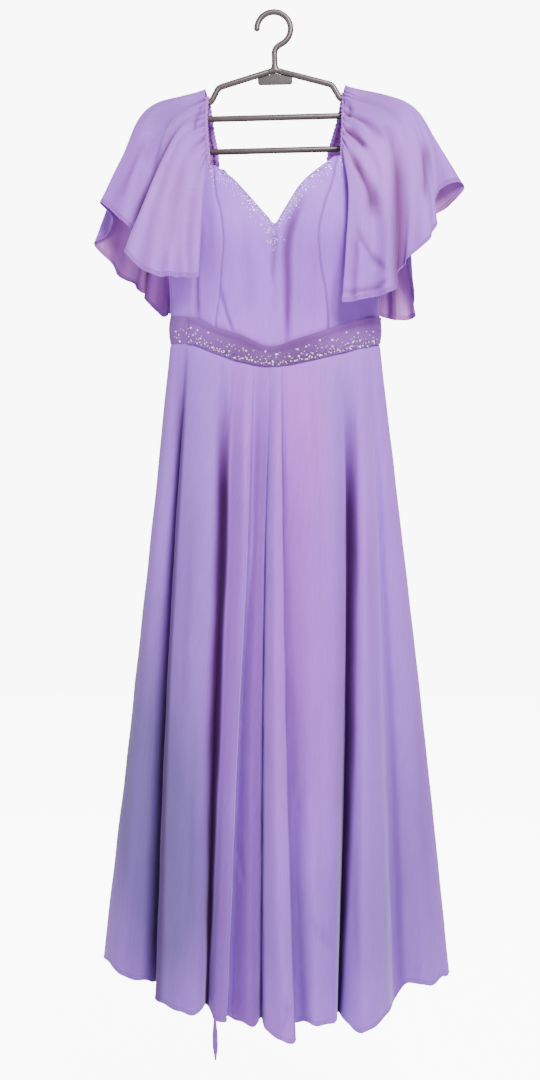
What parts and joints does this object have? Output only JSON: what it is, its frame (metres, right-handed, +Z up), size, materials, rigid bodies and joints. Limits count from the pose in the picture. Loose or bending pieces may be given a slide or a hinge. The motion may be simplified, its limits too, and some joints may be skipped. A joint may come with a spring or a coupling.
{
  "type": "formal gown on a clothes hanger",
  "caption": "Full-length gown with a sweetheart neckline, flutter sleeves and a pleated skirt, hung by its straps on a notched hanger.",
  "frame": {"origin": "inside crown of the hanger's hook, where a rail or peg bears", "axes": "+X to the right seen from the front, +Y away from the viewer, +Z up"},
  "size_m": [0.5559, 0.2282, 1.6127],
  "materials": {
    "chiffon": "matte, softly translucent crepe chiffon",
    "hanger_plastic": "satin grey-brown moulded plastic"
  },
  "bodies": {
    "root": {"hanger_hook": "hanger_plastic", "hanger_arm_left": "hanger_plastic", "hanger_arm_right": "hanger_plastic", "hanger_post_left": "hanger_plastic", "hanger_post_right": "hanger_plastic", "hanger_rail_upper": "hanger_plastic", "hanger_rail_lower": "hanger_plastic", "hanger_plate": "hanger_plastic", "bodice_front": "chiffon", "bodice_side_left": "chiffon", "bodice_side_right": "chiffon", "bodice_back_left": "chiffon", "bodice_back_right": "chiffon", "waistband_front": "chiffon", "waistband_back_left": "chiffon", "waistband_back_right": "chiffon", "skirt_front_left": "chiffon", "skirt_front_pleat": "chiffon", "skirt_front_right": "chiffon", "skirt_back_left": "chiffon", "skirt_back_right": "chiffon", "strap_left": "chiffon", "strap_right": "chiffon", "sleeve_left": "chiffon", "sleeve_right": "chiffon", "tie_left": "chiffon", "tie_right": "chiffon"}
  },
  "joints": []
}
